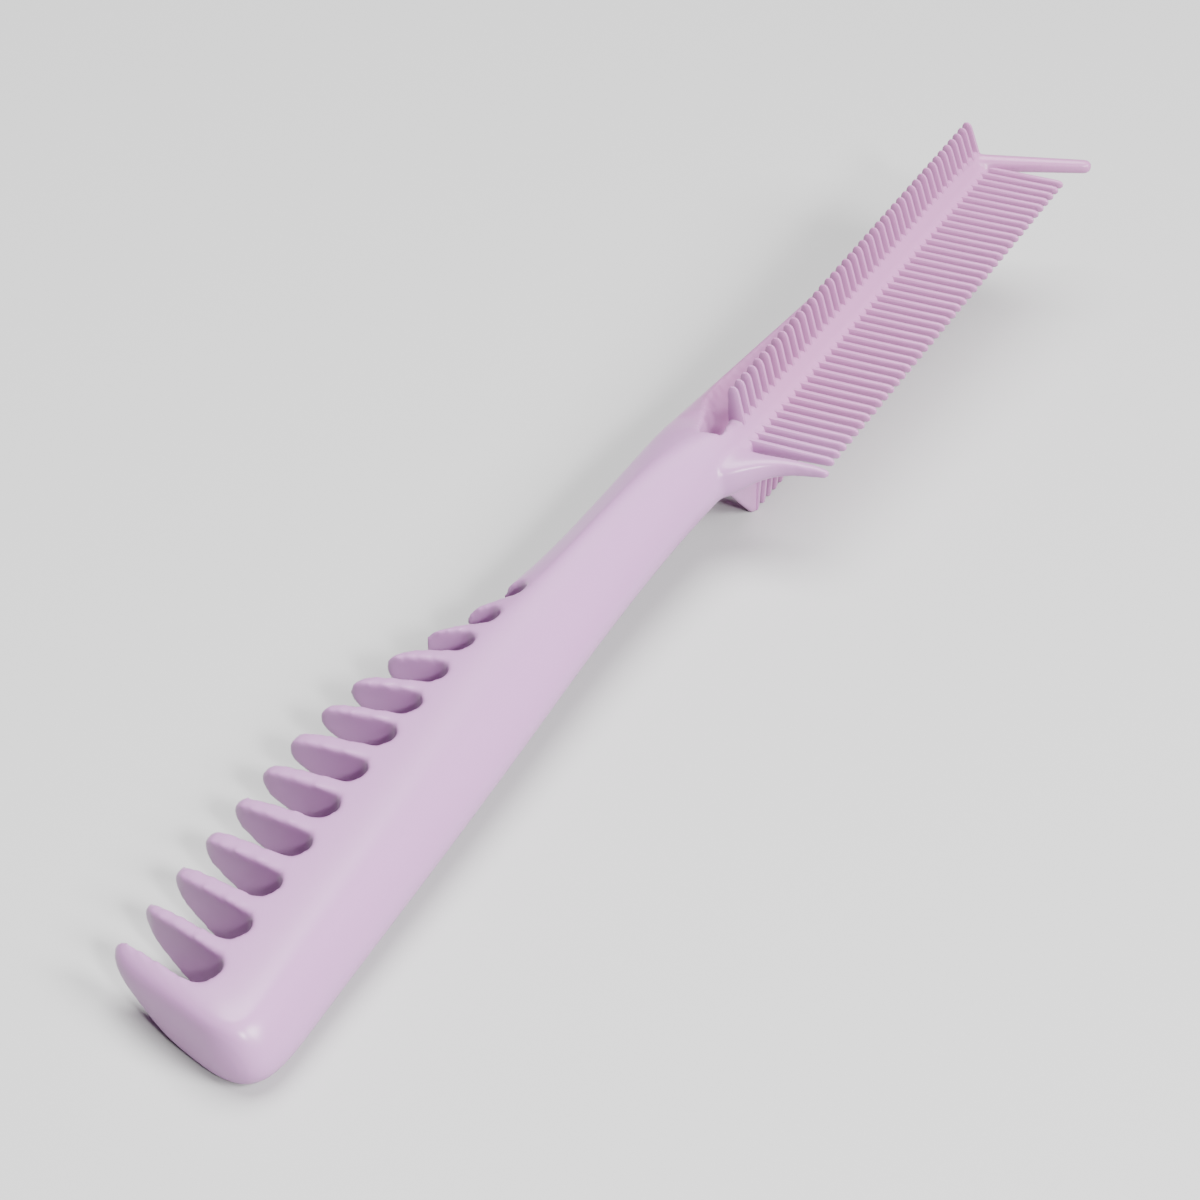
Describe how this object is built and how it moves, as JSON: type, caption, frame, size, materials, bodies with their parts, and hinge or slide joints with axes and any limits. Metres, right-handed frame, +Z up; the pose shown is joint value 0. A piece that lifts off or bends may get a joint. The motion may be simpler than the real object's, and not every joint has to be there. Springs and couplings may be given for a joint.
{
  "type": "hair straightening comb",
  "caption": "Moulded hair comb: wide-tooth handle, slim head with three rows of fine teeth, a guard tooth and an end peg.",
  "frame": {"origin": "centre of the bounding box over the surface the comb lies on", "axes": "+X along the comb from the wide-tooth handle to the fine-tooth head, +Y to the wide teeth's side, +Z up"},
  "size_m": [0.2444, 0.0376, 0.0284],
  "materials": {
    "comb": "satin"
  },
  "bodies": {
    "root": {"comb": "comb"}
  },
  "joints": []
}
